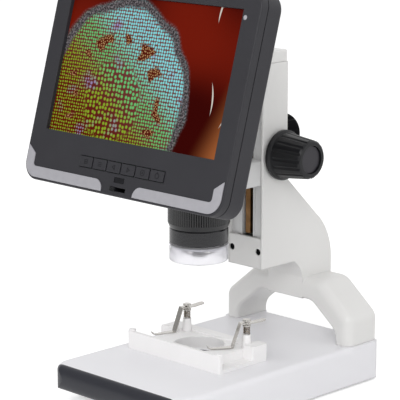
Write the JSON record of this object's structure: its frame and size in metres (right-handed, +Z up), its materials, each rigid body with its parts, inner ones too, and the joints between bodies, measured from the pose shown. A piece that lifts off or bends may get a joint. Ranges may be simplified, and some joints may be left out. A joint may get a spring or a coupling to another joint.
{
  "type": "digital microscope",
  "caption": "Desk-top digital microscope with a tilted screen, ring-lit lens barrel, rack-focus column, arched arm, slide holder with spring clips and a flat base.",
  "frame": {"origin": "on the standing plane, under the middle of the base's length and width", "axes": "+Z up, the screen faces -Y, +X is to the right of someone who faces the screen"},
  "size_m": [0.182, 0.197, 0.2821],
  "materials": {
    "white_paint": "satin, fine texture",
    "white_plastic": "satin moulded",
    "gloss_white": "polished moulded",
    "dark_grey_plastic": "fine spark texture",
    "black_plastic": "moulded",
    "black_gloss": "polished",
    "silver_trim": "metallic satin",
    "black_metal": "black anodised",
    "clear_plastic": "clear moulded, lightly frosted",
    "lens_glass": "coated",
    "screen_glass": "picture on a polished panel",
    "brass": "machined",
    "steel": "bright",
    "chrome": "polished spring steel",
    "rubber": "matt",
    "board_green": "circuit board",
    "white_led": "moulded diode",
    "smoke_window": "smoked"
  },
  "bodies": {
    "stand": {"base_shell": "gloss_white", "base_bottom_cover": "black_plastic", "base_cover_screws": "steel", "rubber_feet": "rubber", "nose_strip": "dark_grey_plastic", "light_window": "smoke_window", "light_board": "board_green", "arm_casting": "white_paint", "arm_screws": "steel", "column_cap": "white_plastic", "front_plate": "white_paint", "front_plate_screws": "steel", "guide_rail_left": "white_paint", "guide_rail_right": "white_paint", "shaft_bushes": "brass", "stage_holder": "white_plastic", "clip_posts": "white_plastic"},
    "head": {"carriage_block": "white_paint", "focus_rack": "brass", "head_housing": "white_plastic", "camera_board": "board_green", "lens_barrel": "black_metal", "smooth_ring": "black_gloss", "light_hood": "clear_plastic", "ring_light_board": "board_green", "ring_light_leds": "white_led", "lens_cell": "black_metal", "objective_lens": "lens_glass", "back_casing": "dark_grey_plastic", "screen_bezel": "dark_grey_plastic", "lcd_panel": "screen_glass", "main_board": "board_green", "board_pillars": "steel", "corner_trim_left": "silver_trim", "corner_trim_right": "silver_trim", "receiver_window": "smoke_window", "status_light": "silver_trim"},
    "focus_drive": {"pinion_shaft": "steel", "pinion_gear": "brass", "focus_knob_left": "black_plastic", "focus_knob_right": "black_plastic", "focus_knob_cap_left": "black_gloss", "focus_knob_cap_right": "black_gloss"},
    "lens_ring": {"knurled_ring": "black_plastic"},
    "lock_knob": {"rear_lock_knob": "black_plastic"},
    "power_slider": {"slide_switch": "black_gloss"},
    "clip_hub_left": {"clip_hub_left": "chrome", "clip_spring_left": "steel"},
    "clip_left": {"clip_strip_left": "chrome"},
    "clip_hub_right": {"clip_hub_right": "chrome", "clip_spring_right": "steel"},
    "clip_right": {"clip_strip_right": "chrome"},
    "key_1": {"button_1": "dark_grey_plastic"},
    "key_2": {"button_2": "dark_grey_plastic"},
    "key_3": {"button_3": "dark_grey_plastic"},
    "key_4": {"button_4": "dark_grey_plastic"},
    "key_5": {"button_5": "dark_grey_plastic"},
    "key_6": {"button_6": "dark_grey_plastic"}
  },
  "joints": [
    {"name": "focus_travel", "type": "slide", "parent": "stand", "child": "head", "axis": [0, 0, 1], "range_m": [-0.018, 0.032]},
    {"name": "focus_turn", "type": "hinge", "parent": "stand", "child": "focus_drive", "pos_m": [0, 0.0435, 0.1593], "axis": [1, 0, 0], "range_deg": [-459, 258.5]},
    {"name": "lens_ring_turn", "type": "hinge", "parent": "head", "child": "lens_ring", "pos_m": [0, -0.0175, 0.127], "axis": [0, 0, 1], "range_deg": [-90, 90]},
    {"name": "lock_turn", "type": "hinge", "parent": "stand", "child": "lock_knob", "pos_m": [0, 0.0575, 0.17], "axis": [0, 1, 0], "range_deg": [-180, 180]},
    {"name": "switch_travel", "type": "slide", "parent": "head", "child": "power_slider", "axis": [1, 0, 0], "range_m": [0, 0.006]},
    {"name": "key_press_1", "type": "slide", "parent": "head", "child": "key_1", "axis": [0, 0.9613, -0.2756], "range_m": [0, 0.0008], "stiffness_N_per_m": 400},
    {"name": "key_press_2", "type": "slide", "parent": "head", "child": "key_2", "axis": [0, 0.9613, -0.2756], "range_m": [0, 0.0008], "stiffness_N_per_m": 400},
    {"name": "key_press_3", "type": "slide", "parent": "head", "child": "key_3", "axis": [0, 0.9613, -0.2756], "range_m": [0, 0.0008], "stiffness_N_per_m": 400},
    {"name": "key_press_4", "type": "slide", "parent": "head", "child": "key_4", "axis": [0, 0.9613, -0.2756], "range_m": [0, 0.0008], "stiffness_N_per_m": 400},
    {"name": "key_press_5", "type": "slide", "parent": "head", "child": "key_5", "axis": [0, 0.9613, -0.2756], "range_m": [0, 0.0008], "stiffness_N_per_m": 400},
    {"name": "key_press_6", "type": "slide", "parent": "head", "child": "key_6", "axis": [0, 0.9613, -0.2756], "range_m": [0, 0.0008], "stiffness_N_per_m": 400},
    {"name": "clip_swing_left", "type": "hinge", "parent": "stand", "child": "clip_hub_left", "pos_m": [-0.028, -0.0009, 0.05], "axis": [0, 0, 1], "range_deg": [-20, 45]},
    {"name": "clip_lift_left", "type": "hinge", "parent": "clip_hub_left", "child": "clip_left", "pos_m": [-0.028, -0.0009, 0.0537], "axis": [-0.9613, 0.2756, 0], "range_deg": [0, 12], "stiffness_Nm_per_rad": 0.05},
    {"name": "clip_swing_right", "type": "hinge", "parent": "stand", "child": "clip_hub_right", "pos_m": [0.028, -0.0009, 0.05], "axis": [0, 0, 1], "range_deg": [-30, 45]},
    {"name": "clip_lift_right", "type": "hinge", "parent": "clip_hub_right", "child": "clip_right", "pos_m": [0.028, -0.0009, 0.0537], "axis": [-0.866, 0.5, 0], "range_deg": [0, 12], "stiffness_Nm_per_rad": 0.05}
  ],
  "couplings": [
    {"joint": "focus_turn", "follows": "focus_travel", "rad_per_m": -250}
  ]
}
